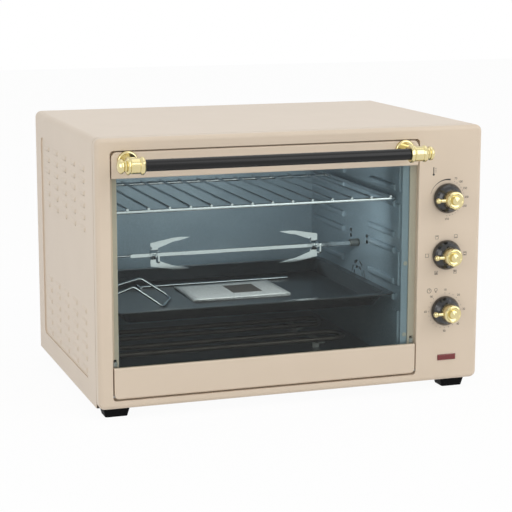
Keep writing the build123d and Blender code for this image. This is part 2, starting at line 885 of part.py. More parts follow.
def spit_hook():
    """Bracket on the left wall that cradles the spit's round end."""
    x0 = cavity_left
    plate = block(x0, x0 + 1.5, spit_y - 14, spit_y + 14, spit_z - 20, spit_z + 6)
    arm = block(x0, x0 + spit_hook_reach, spit_y - 7, spit_y + 7, spit_z - 8, spit_z - 2.6)
    lip = block(x0 + spit_hook_reach - 1.5, x0 + spit_hook_reach, spit_y - 7, spit_y + 7, spit_z - 8, spit_z + 5)
    lip -= block(x0, x0 + 2 * spit_hook_reach, spit_y - 2.6, spit_y + 2.6, spit_z - 2.6, spit_z + 10)
    plate -= block(x0 - 1, x0 + 2, spit_y - 2.6, spit_y + 2.6, spit_z - 2.6, spit_z + 10)
    return plate + arm + lip


def spit_fork(x, inward):
    """Pressed fork: bridge plate, two ribbed prongs and a hub that slides on the spit."""
    def outline(shrink):
        width = fork_half_width - shrink
        base = fork_base_half - shrink
        knee = fork_spread - shrink
        tip = fork_prong_length - 4 * shrink
        upper = [
            (-width, base), (28, knee - 0.5), (38, knee), (tip, fork_spread - 0.5),
            (38 - shrink, fork_spread - 4.5 + shrink), (28, fork_spread - 6 + shrink),
            (6 + shrink, fork_base_half - 7.5 + shrink), (width, 4 + shrink),
        ]
        lower = [(px, -pz) for px, pz in reversed(upper)]
        points = [(x + inward * px, 0, spit_z + pz) for px, pz in upper + lower]
        return make_face(Polyline(points, close=True))

    half = fork_sheet / 2
    plate = Pos(0, spit_y, 0) * extrude(outline(0), half, both=True)
    rib = Pos(0, spit_y - half, 0) * extrude(outline(1.6), fork_rib, both=True)
    hub = rod_x(x - fork_hub_length / 2, x + fork_hub_length / 2, spit_y, spit_z, fork_hub_diameter)
    fork = plate + rib + hub
    gap = spit_square / 2 + 0.3
    fork -= block(x - 20, x + 20, spit_y - gap, spit_y + gap, spit_z - gap, spit_z + gap)
    return fork - rod_y(x, spit_y - 20, spit_y, spit_z, 4)


def fork_screws():
    """Both thumb screws, as one group."""
    return Compound([fork_screw(fork_left_x), fork_screw(fork_right_x)])


def fork_screw(x):
    """Thumb screw that clamps a fork on the spit."""
    start = spit_y - spit_square / 2
    shank = rod_y(x, start - 14, start, spit_z, 4)
    wing = block(x - 1.2, x + 1.2, start - 24, start - 12, spit_z - 8, spit_z + 8)
    wing = fillet(wing.edges().filter_by(Axis.X), 3)
    return shank + wing


def drive_socket():
    """Square-bored socket inside the cavity on the drive spindle."""
    x1 = cavity_right - 1
    cup = rod_x(x1 - socket_reach, x1, spit_y, spit_z, socket_diameter)
    cup = chamfer(cup.edges().filter_by(GeomType.CIRCLE), 0.8)
    gap = spit_square / 2 + socket_play
    spindle = rod_x(x1 - 1, bracket_x + bracket_sheet, spit_y, spit_z, spindle_diameter)
    bore = block(x1 - socket_reach - 1, x1 - 1, spit_y - gap, spit_y + gap, spit_z - gap, spit_z + gap)
    return cup + spindle - bore


def motor_bracket():
    """Plate on two folded legs that carries both motors."""
    plate = block(
        bracket_x, bracket_x + bracket_sheet, bracket_front_y, bracket_back_y, bracket_bottom_z, bracket_top_z
    )
    for y in (bracket_front_y, bracket_back_y - bracket_sheet):
        plate += block(wall_outer, bracket_x, y, y + bracket_sheet, bracket_bottom_z, bracket_top_z)
    plate -= rod_x(bracket_x - 1, bracket_x + 3, spit_y, spit_z, spindle_diameter + 2)
    plate -= rod_x(bracket_x - 1, bracket_x + 3, fan_y, fan_z, fan_shaft + 2)
    return plate


def spit_motor():
    """Round geared motor that turns the spit."""
    start = bracket_x + bracket_sheet
    can = rod_x(start, start + spit_motor_depth, spit_y, spit_z, spit_motor_diameter)
    return fillet(can.faces().sort_by(Axis.X)[-1].edges(), 2)


def fan_motor():
    """Shaded-pole fan motor: laminated core, coil and rotor bearing."""
    start = bracket_x + bracket_sheet
    mid = start + fan_motor_depth
    core = block(
        start, mid, fan_y - fan_motor_width / 2, fan_y + fan_motor_width / 2,
        fan_z - fan_motor_height - 2, fan_z + fan_motor_height / 2 - 2,
    )
    bore = rod_x(start - 1, start + fan_motor_depth - 4, fan_y, fan_z, fan_shaft + 2 * shaft_play)
    return core - bore


def fan_rotor():
    """Impeller with its shaft."""
    x0 = wall_outer + fan_wall_gap
    x1 = x0 + fan_depth
    rotor = rod_x(x0, x1, fan_y, fan_z, fan_hub)
    disc = rod_x(x1 - 1.2, x1, fan_y, fan_z, fan_diameter)
    rotor += disc
    for index in range(fan_blades):
        blade = block(x0, x1 - 1, fan_hub / 2 - 1, fan_diameter / 2, -0.6, 0.6)
        rotor += Pos(0, fan_y, fan_z) * Rot(360 * index / fan_blades, 0, 0) * blade
    end = bracket_x + bracket_sheet + fan_motor_depth - 6
    return rotor + rod_x(x1 - 1, end, fan_y, fan_z, fan_shaft)


def fan_shroud():
    """Sheet box round the impeller, fixed to the cavity wall."""
    half = shroud_side / 2
    outer = block(wall_outer, wall_outer + shroud_depth, fan_y - half, fan_y + half, fan_z - half, fan_z + half)
    outer = fillet(outer.edges().filter_by(Axis.X), 6)
    inner = block(
        wall_outer - 1, wall_outer + shroud_depth - shroud_sheet, fan_y - half + shroud_sheet,
        fan_y + half - shroud_sheet, fan_z - half + shroud_sheet, fan_z + half - shroud_sheet,
    )
    inner = fillet(inner.edges().filter_by(Axis.X), 5)
    return outer - inner - rod_x(wall_outer, bracket_x, fan_y, fan_z, fan_shaft + 4)


def knob_shaft(z):
    """Control shaft from the switch through the panel into the knob."""
    return rod_y(knob_x, skirt_front() + 2, panel_back + shaft_tail, z, shaft_diameter)


def skirt_back():
    """Rear plane of the black dial, just off the panel."""
    return -frame_depth - skirt_panel_gap


def skirt_front():
    """Front plane of the black dial."""
    return skirt_back() - skirt_height


def knob_skirt(z):
    """Black domed dial."""
    radius = skirt_diameter / 2
    profile = [
        (0, 0), (radius, 0), (radius, 3.5), (radius - 1.2, 6.5), (radius - 3.5, 9.5),
        (radius - 6.5, 12.2), (cap_diameter / 2 + 0.5, skirt_height), (0, skirt_height),
    ]
    solid = Pos(knob_x, skirt_back(), z) * Rot(90, 0, 0) * turned(profile)
    solid -= rod_y(knob_x, skirt_front() - 1, skirt_back() + 1, z, shaft_diameter)
    return solid


def knob_cap(z):
    """Metal cap ring with its dome and pointer lever."""
    radius = cap_diameter / 2
    dome = cap_dome_diameter / 2
    profile = [
        (0, 0), (radius, 0), (radius, cap_height - 2), (radius - 1, cap_height - 0.4),
        (radius - 2.2, cap_height), (radius - 3.4, cap_height - 1), (dome, cap_height - 1.6),
        (dome - 1, cap_height + 0.8), (dome - 3, cap_height + cap_dome_height - 2.4),
        (0, cap_height + cap_dome_height - 1.6),
    ]
    solid = Pos(knob_x, skirt_front(), z) * Rot(90, 0, 0) * turned(profile)
    lever_y = skirt_front() - cap_height / 2
    lever = rod_x(knob_x - lever_length, knob_x - radius + 1, lever_y, z, lever_diameter)
    ball = Pos(knob_x - lever_length, lever_y, z) * Sphere(lever_ball / 2)
    return solid + lever + ball


def control_body(z, depth):
    """Switch or timer body behind the panel with the bore for its shaft."""
    half = control_body_size / 2
    body = block(knob_x - half, knob_x + half, panel_back, panel_back + depth, z - half, z + half)
    body = fillet(body.edges().filter_by(Axis.Y), 4)
    bore = shaft_diameter + 2 * shaft_play
    return body - rod_y(knob_x, panel_back - 1, panel_back + shaft_tail + 1, z, bore)


def pilot_lamp_lens():
    """Rounded lens that stands a little out of the panel."""
    lens = block(
        lamp_x - lamp_width / 2, lamp_x + lamp_width / 2, -frame_depth - lamp_proud, panel_back,
        lamp_z - lamp_height / 2, lamp_z + lamp_height / 2,
    )
    return fillet(lens.faces().sort_by(Axis.Y)[0].edges(), 1.2)


def pilot_lamp_housing():
    """Lamp holder behind the lens."""
    return block(
        lamp_x - lamp_width / 2 - 2, lamp_x + lamp_width / 2 + 2, panel_back, panel_back + lamp_housing_depth,
        lamp_z - lamp_height / 2 - 2, lamp_z + lamp_height / 2 + 2,
    )


def build():
    """Write every piece."""
    os.makedirs("parts", exist_ok=True)
    place("outer_shell", outer_shell())
    place("front_frame", front_frame())
    place("back_panel", back_panel())
    place("base_panel", base_panel())
    place("cord_gland", cord_gland())
    place("fixing_screws", fixing_screws())
    names = ("front_left", "front_right", "rear_left", "rear_right")
    for name, (x, y) in zip(names, foot_places()):
        place(f"foot_{name}", foot(x, y))

    place("cavity_left_wall", cavity_side(-1))
    place("cavity_right_wall", cavity_side(1))
    place("cavity_back_wall", cavity_back_wall())
    place("cavity_roof", cavity_plate(cavity_top, cavity_top + cavity_sheet))
    place("cavity_floor", cavity_plate(cavity_bottom - cavity_sheet, cavity_bottom))
    for level, z in (("lower", heater_lower_z), ("upper", heater_upper_z)):
        place(f"{level}_heater_front", heater(heater_front_y, z))
        place(f"{level}_heater_rear", heater(heater_rear_y - 2 * heater_bend, z))
    place("heater_bushes", heater_bushes())
    place("heater_clips", heater_clips())

    place("wire_rack", wire_rack())
    place("baking_tray", baking_tray())
    place("booklet", booklet())
    place("tray_lifter", tray_lifter())
    place("spit_lifter", spit_lifter())

    place("spit_rod", spit_rod())
    place("spit_hook", spit_hook())
    place("spit_fork_left", spit_fork(fork_left_x, 1))
    place("spit_fork_right", spit_fork(fork_right_x, -1))
    place("fork_screws", fork_screws())
    place("drive_socket", drive_socket())
    place("motor_bracket", motor_bracket())
    place("spit_motor", spit_motor())
    place("fan_motor", fan_motor())
    place("fan_rotor", fan_rotor())
    place("fan_shroud", fan_shroud())

    for index, name in enumerate(("thermostat", "function", "timer")):
        z = knob_z(index)
        depth = timer_body_depth if name == "timer" else control_body_depth
        place(f"{name}_shaft", knob_shaft(z))
        place(f"{name}_dial", knob_skirt(z))
        place(f"{name}_cap", knob_cap(z))
        place(f"{name}_body", control_body(z, depth))
    place("pilot_lamp_lens", pilot_lamp_lens())
    place("pilot_lamp_housing", pilot_lamp_housing())

    place("door_top_rail", door_top_rail())
    place("door_bottom_rail", door_bottom_rail())
    place("door_glass", door_glass())
    place("hinge_pins", Compound([hinge_pin(-1), hinge_pin(1)]))
    left_stay, right_stay = stay_places()
    place("door_stays", Compound([door_stay(left_stay), door_stay(right_stay)]))
    left_post, right_post = post_places()
    place("handle_bar", handle_bar())
    place("handle_end_left", handle_end(handle_tube_left, left_post, -1))
    place("handle_end_right", handle_end(handle_tube_right, right_post, 1))
    place("rail_screws", rail_screws())


build()
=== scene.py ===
# Looks of the electric countertop oven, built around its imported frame.

import json
import logging
import math
from dataclasses import dataclass
from enum import Enum

import bmesh
import bpy
from mathutils import Matrix, Vector

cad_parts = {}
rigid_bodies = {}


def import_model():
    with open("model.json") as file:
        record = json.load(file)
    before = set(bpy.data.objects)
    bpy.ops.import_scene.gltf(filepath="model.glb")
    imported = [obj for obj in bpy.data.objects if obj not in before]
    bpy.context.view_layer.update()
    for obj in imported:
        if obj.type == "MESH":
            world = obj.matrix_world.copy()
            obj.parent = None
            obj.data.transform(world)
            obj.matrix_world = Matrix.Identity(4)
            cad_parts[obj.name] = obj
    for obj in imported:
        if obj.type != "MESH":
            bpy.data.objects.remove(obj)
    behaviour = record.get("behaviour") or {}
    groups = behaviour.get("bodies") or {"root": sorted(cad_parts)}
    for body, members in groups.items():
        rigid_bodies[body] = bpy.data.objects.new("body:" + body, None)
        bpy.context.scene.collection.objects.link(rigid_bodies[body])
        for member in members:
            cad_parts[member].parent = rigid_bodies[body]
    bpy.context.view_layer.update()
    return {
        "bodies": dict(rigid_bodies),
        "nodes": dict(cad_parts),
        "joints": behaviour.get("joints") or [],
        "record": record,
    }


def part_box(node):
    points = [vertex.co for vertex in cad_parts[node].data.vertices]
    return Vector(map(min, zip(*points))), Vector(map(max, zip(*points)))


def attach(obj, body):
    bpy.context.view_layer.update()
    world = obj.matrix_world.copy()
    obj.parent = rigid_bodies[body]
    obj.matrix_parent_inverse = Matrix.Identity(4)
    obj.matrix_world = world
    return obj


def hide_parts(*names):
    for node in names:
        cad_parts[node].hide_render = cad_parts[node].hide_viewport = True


MM = 0.001
SHARP_ANGLE = math.radians(35)
log = logging.getLogger("oven")


class Body(str, Enum):
    """Moving bodies of the oven that pieces ride on."""

    CASING = "casing"
    TRAY = "tray"


@dataclass(frozen=True)
class Finish:
    """Look of one surface, with pattern sizes in millimetres."""

    name: str
    colour: str
    second: str
    roughness: float
    metallic: float = 0.0
    grain_mm: float = 1.0
    bump: float = 0.02
    coat: float = 0.0
    specular: float = 0.5
    mottle_mm: float = 60.0


# Satin powder paint on sheet steel: even warm cream with a soft wide sheen and fine orange peel.
CREAM = Finish("powder_paint", "#DFCEBA", "#D9C8B3", 0.36, grain_mm=0.9, bump=0.05, coat=0.06,
               specular=0.35)
# Vitreous enamel on pressed sheet: blue-grey, mottled, with a wet gloss over fine grit.
# Painted light: the base colour is far paler than the dark enamel, standing in for light and
# reflection inside the cavity.
CAVITY = Finish("cavity_enamel", "#97A9B4", "#8698A4", 0.27, metallic=0.12, grain_mm=0.8, bump=0.05,
                coat=0.4)
# The same enamel on the floor, in a darker colour than the walls.
CAVITY_FLOOR = Finish("floor_enamel", "#2E363B", "#272E33", 0.3, metallic=0.1, grain_mm=0.8,
                      bump=0.05, coat=0.4)
# Black enamel on the drawn tray: deep and glossy with a fine grain.
TRAY_ENAMEL = Finish("tray_enamel", "#0F1012", "#17181B", 0.28, grain_mm=0.7, bump=0.04, coat=0.4)
# Plain rolled steel: grey and slightly hazy.
STEEL = Finish("rolled_steel", "#A8A8A4", "#989894", 0.38, metallic=0.9, grain_mm=1.2, bump=0.03)
# Zinc plate on screws: pale with a warm cast.
ZINC = Finish("zinc_plate", "#B4B2A8", "#A29F92", 0.35, metallic=0.9, grain_mm=0.6, bump=0.04)
# Bright chrome on bent wire: hard narrow highlights.
CHROME = Finish("chrome_plate", "#E6E8EA", "#D8DADD", 0.1, metallic=1.0, grain_mm=2.0, bump=0.01)
# Polished pale brass plate: greenish gold with crisp reflections.
GOLD = Finish("brass_plate", "#E3D6A6", "#D2C38C", 0.14, metallic=1.0, grain_mm=3.0, bump=0.01,
              coat=0.2)
# Moulded phenolic dials: deep black gloss.
BLACK_GLOSS = Finish("moulded_phenolic", "#0A0A0B", "#0F0F11", 0.17, grain_mm=1.0, bump=0.015,
                     coat=0.5)
# Stoved enamel on the handle tube: black with a narrow bright streak along it.
BLACK_TUBE = Finish("stoved_enamel", "#060607", "#0A0A0B", 0.26, grain_mm=1.4, bump=0.02, coat=0.08,
                    specular=0.3)
# Moulded rubberised feet and plastic bodies: dull black with fine grain.
BLACK_MATT = Finish("moulded_plastic", "#08080A", "#0D0D0F", 0.6, grain_mm=0.5, bump=0.12,
                    specular=0.08)
# Moulded polycarbonate lens: deep red and glossy.
LENS_RED = Finish("lens_polycarbonate", "#7E0D0C", "#5E0A09", 0.14, grain_mm=1.0, bump=0.01,
                  coat=0.5)
# Unglazed steatite bushes: chalky off-white.
CERAMIC = Finish("steatite", "#DAD4C4", "#CFC8B6", 0.55, grain_mm=0.6, bump=0.05)
# Oxidised stainless sheath: brown-grey, half dull.
SHEATH = Finish("oxidised_sheath", "#4A4642", "#5E564C", 0.42, metallic=0.8, grain_mm=0.8,
                bump=0.05)
# Coated leaflet paper: cool grey-white, soft; the grey is painted shade on white paper behind the
# door glass.
PAPER = Finish("coated_paper", "#CDCECD", "#C4C5C4", 0.6, grain_mm=0.4, bump=0.03)
# Screen ink on the panel: dark brown-grey and matt.
INK = Finish("screen_ink", "#2A2622", "#332E29", 0.5, grain_mm=0.3, bump=0.01)


def linear(colour: str) -> tuple[float, float, float, float]:
    """Turn an sRGB hex colour into linear RGBA.

    Args:
        colour: Hex text such as "#E2D6C0".

    Returns:
        Four linear values, alpha 1.
    """
    values = []
    for start in (1, 3, 5):
        c = int(colour[start:start + 2], 16) / 255
        values.append(c / 12.92 if c <= 0.04045 else ((c + 0.055) / 1.055) ** 2.4)
    return (*values, 1.0)


def blank_material(name: str) -> tuple[bpy.types.Material, bpy.types.NodeTree]:
    """Make a material with an empty node tree.

    Args:
        name: Its name.

    Returns:
        The material and its tree.
    """
    material = bpy.data.materials.new(name)
    material.use_nodes = True
    material.node_tree.nodes.clear()
    return material, material.node_tree


def add_node(tree: bpy.types.NodeTree, kind: str, values: dict | None = None,
             **settings: object) -> bpy.types.Node:
    """Add one node, set its properties and its unlinked sockets.

    Args:
        tree: Node tree to add to.
        kind: Node type name.
        values: Socket name or index to a value, or to the socket that feeds it.
        settings: Properties of the node itself.

    Returns:
        The new node.
    """
    node = tree.nodes.new(kind)
    for name, value in settings.items():
        setattr(node, name, value)
    for key, value in (values or {}).items():
        if isinstance(value, bpy.types.NodeSocket):
            tree.links.new(value, node.inputs[key])
        else:
            node.inputs[key].default_value = value
    return node


class MaterialShop:
    """Makes each procedural material once and hands it out."""

    roughness_span = (0.85, 1.15)
    coat_roughness = 0.08
    grain_depth = 0.2 * MM
    pane_tint = "#F1F5F4"
    pane_mirror = 0.35
    pane_index = 1.45
    pane_haze = 0.03
    ripple_scale = 6.0
    ripple_bump = 0.02
    ripple_depth = 0.5 * MM
    line_pitch = 4.2 * MM
    line_gap = 2.9 * MM
    word_size = 3.0 * MM
    word_gap = 0.47
    ink_strength = 0.5
    text_grey = "#6A6A6C"
    picture_dark = "#33343A"
    picture_brown = "#6B6258"
    picture_shift = (0.12, 0.05)
    picture_half = (0.15, 0.25)

    def __init__(self) -> None:
        self._made: dict[str, bpy.types.Material] = {}

    def get(self, finish: Finish) -> bpy.types.Material:
        """Return the plain surface material of a finish.

        Args:
            finish: The look wanted.

        Returns:
            The Blender material.
        """
        if finish.name not in self._made:
            self._made[finish.name] = self._surface(finish)
        return self._made[finish.name]

    def _surface(self, finish: Finish) -> bpy.types.Material:
        """Make a surface with mottled colour, fine bump and roughness changes.

        Args:
            finish: The look wanted.

        Returns:
            The Blender material.
        """
        material, tree = blank_material(finish.name)
        low, high = (finish.roughness * share for share in self.roughness_span)
        coords = add_node(tree, "ShaderNodeTexCoord").outputs["Object"]
        mottle = add_node(tree, "ShaderNodeTexNoise", {
            "Vector": coords, "Scale": 1 / (finish.mottle_mm * MM), "Detail": 3.0})
        grain = add_node(tree, "ShaderNodeTexNoise", {
            "Vector": coords, "Scale": 1 / (finish.grain_mm * MM), "Detail": 2.0})
        tint = add_node(tree, "ShaderNodeMix", {
            "Factor": mottle.outputs["Fac"], 6: linear(finish.colour), 7: linear(finish.second)},
            data_type="RGBA")
        rough = add_node(tree, "ShaderNodeMapRange", {
            "Value": grain.outputs["Fac"], "To Min": low, "To Max": high})
        bump = add_node(tree, "ShaderNodeBump", {
            "Height": grain.outputs["Fac"], "Strength": finish.bump, "Distance": self.grain_depth})
        shader = add_node(tree, "ShaderNodeBsdfPrincipled", {
            "Base Color": tint.outputs[2], "Roughness": rough.outputs["Result"],
            "Metallic": finish.metallic, "Normal": bump.outputs["Normal"],
            "Coat Weight": finish.coat, "Coat Roughness": self.coat_roughness,
            "Specular IOR Level": finish.specular})
        add_node(tree, "ShaderNodeOutputMaterial", {"Surface": shader.outputs["BSDF"]})
        return material

    def glass(self) -> bpy.types.Material:
        """Clear pane: light passes straight through, with a faint tint and a mirror skin.

        Returns:
            The Blender material.
        """
        if "door_pane" in self._made:
            return self._made["door_pane"]
        material, tree = blank_material("door_pane")
        coords = add_node(tree, "ShaderNodeTexCoord").outputs["Object"]
        ripple = add_node(tree, "ShaderNodeTexNoise", {
            "Vector": coords, "Scale": self.ripple_scale, "Detail": 1.0})
        bump = add_node(tree, "ShaderNodeBump", {
            "Height": ripple.outputs["Fac"], "Strength": self.ripple_bump,
            "Distance": self.ripple_depth})
        tint = add_node(tree, "ShaderNodeBsdfTransparent", {"Color": linear(self.pane_tint)})
        skin = add_node(tree, "ShaderNodeBsdfGlossy", {
            "Color": (1, 1, 1, 1), "Roughness": self.pane_haze, "Normal": bump.outputs["Normal"]})
        fresnel = add_node(tree, "ShaderNodeFresnel", {"IOR": self.pane_index})
        soften = add_node(tree, "ShaderNodeMath", {0: fresnel.outputs["Fac"], 1: self.pane_mirror},
                          operation="MULTIPLY")
        mix = add_node(tree, "ShaderNodeMixShader", {
            0: soften.outputs["Value"], 1: tint.outputs["BSDF"], 2: skin.outputs["BSDF"]})
        add_node(tree, "ShaderNodeOutputMaterial", {"Surface": mix.outputs["Shader"]})
        self._made["door_pane"] = material
        return material

    def printed_paper(self, centre: Vector, size: Vector) -> bpy.types.Material:
        """Paper with grey lines of unreadable text and one dark picture.

        Args:
            centre: Middle of the sheet in metres.
            size: Its extents in metres.

        Returns:
            The Blender material.
        """
        material, tree = blank_material("printed_paper")
        coords = add_node(tree, "ShaderNodeTexCoord").outputs["Object"]
        split = add_node(tree, "ShaderNodeSeparateXYZ", {"Vector": coords})
        rows = add_node(tree, "ShaderNodeMath", {0: split.outputs["Y"], 1: self.line_pitch},
                        operation="PINGPONG")
        line = add_node(tree, "ShaderNodeMath", {0: rows.outputs["Value"], 1: self.line_gap},
                        operation="GREATER_THAN")
        words = add_node(tree, "ShaderNodeTexNoise", {
            "Vector": coords, "Scale": 1 / self.word_size, "Detail": 1.0})
        word = add_node(tree, "ShaderNodeMath", {0: words.outputs["Fac"], 1: self.word_gap},
                        operation="GREATER_THAN")
        ink = add_node(tree, "ShaderNodeMath", {0: line.outputs["Value"], 1: word.outputs["Value"]},
                       operation="MULTIPLY")
        faded = add_node(tree, "ShaderNodeMath", {0: ink.outputs["Value"], 1: self.ink_strength},
                         operation="MULTIPLY")
        across = add_node(tree, "ShaderNodeMath", {
            0: split.outputs["X"], 1: centre.x + size.x * self.picture_shift[0],
            2: size.x * self.picture_half[0]}, operation="COMPARE")
        along = add_node(tree, "ShaderNodeMath", {
            0: split.outputs["Y"], 1: centre.y + size.y * self.picture_shift[1],
            2: size.y * self.picture_half[1]}, operation="COMPARE")
        picture = add_node(tree, "ShaderNodeMath", {
            0: across.outputs["Value"], 1: along.outputs["Value"]}, operation="MULTIPLY")
        # The paper colour here carries painted shade from the door glass.
        printed = add_node(tree, "ShaderNodeMix", {
            "Factor": faded.outputs["Value"], 6: linear(PAPER.colour), 7: linear(self.text_grey)},
            data_type="RGBA")
        scene = add_node(tree, "ShaderNodeMix", {
            "Factor": words.outputs["Fac"], 6: linear(self.picture_dark),
            7: linear(self.picture_brown)}, data_type="RGBA")
        colour = add_node(tree, "ShaderNodeMix", {
            "Factor": picture.outputs["Value"], 6: printed.outputs[2], 7: scene.outputs[2]},
            data_type="RGBA")
        shader = add_node(tree, "ShaderNodeBsdfPrincipled", {
            "Base Color": colour.outputs[2], "Roughness": PAPER.roughness})
        add_node(tree, "ShaderNodeOutputMaterial", {"Surface": shader.outputs["BSDF"]})
        return material


FINISH_OF_SLOT = {
    "cream_paint": CREAM, "dark_enamel": CAVITY, "steel": STEEL, "zinc": ZINC, "chrome": CHROME,
    "gold": GOLD, "black_gloss": BLACK_GLOSS, "black_tube": BLACK_TUBE, "black_matte": BLACK_MATT,
    "red_lens": LENS_RED, "white_ceramic": CERAMIC, "heater_sheath": SHEATH, "paper": PAPER,
    "motor_black": BLACK_MATT,
}
FINISH_OF_NODE = {"baking_tray": TRAY_ENAMEL, "cavity_floor": CAVITY_FLOOR}


@dataclass
class Part:
    """Base of every sub-assembly: keeps the frame and the materials, and makes meshes."""

    frame: dict
    shop: MaterialShop

    def mesh(self, name: str, bm: bmesh.types.BMesh, material: bpy.types.Material, slot: str,
             body: Body, smooth: bool = True) -> bpy.types.Object:
        """Turn a bmesh into a piece that rides on a body.

        Args:
            name: Piece name.
            bm: Finished bmesh, freed here.
            material: Its material.
            slot: Material slot of the record; not used.
            body: Body it rides on.
            smooth: Whether faces are shaded smooth, with sharp edges kept.

        Returns:
            The new object.
        """
        bmesh.ops.recalc_face_normals(bm, faces=bm.faces)
        data = bpy.data.meshes.new(name)
        bm.to_mesh(data)
        bm.free()
        piece = bpy.data.objects.new(name, data)
        bpy.context.scene.collection.objects.link(piece)
        data.materials.append(material)
        if smooth:
            data.shade_smooth()
            data.set_sharp_from_angle(angle=SHARP_ANGLE)
        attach(piece, body.value)
        log.info("%s: %d faces on %s", name, len(data.polygons), body.value)
        return piece


class CadFinishes(Part):
    """Gives each node of the frame its procedural material."""

    def build(self) -> None:
        """Assign a material to every node."""
        slot_of = {s["node"]: s["material_slot"] for s in self.frame["record"]["subparts"]}
        for name, node in self.frame["nodes"].items():
            slot = slot_of[name]
            if name in FINISH_OF_NODE:
                material = self.shop.get(FINISH_OF_NODE[name])
            elif slot == "clear_glass":
                material = self.shop.glass()
            else:
                material = self.shop.get(FINISH_OF_SLOT[slot])
            node.data.materials.clear()
            node.data.materials.append(material)
            log.info("%s gets %s", name, material.name)


@dataclass(frozen=True)
class DialScale:
    """Printed scale round a dial, sizes in millimetres, angles clockwise from 12 o'clock."""

    node: str
    marks: tuple[tuple[float, str], ...] = ()
    dot_span: tuple[float, float] = (0.0, 0.0)
    dots: int = 0
    dot_radius: float = 24.5
    label_radius: float = 29.0
    letter: float = 4.2


SCALES = (
    DialScale("thermostat_dial", dot_span=(25, 180), dots=16, marks=(
        (25, "70"), (42, "100"), (65, "150"), (90, "200"), (115, "230"), (180, "250"))),
    DialScale("function_dial"),
    DialScale("timer_dial", dot_span=(0, 315), dots=22, marks=(
        (0, "10"), (45, "20"), (90, "30"), (135, "40"), (180, "50"), (270, "60"), (315, "90"))),
)


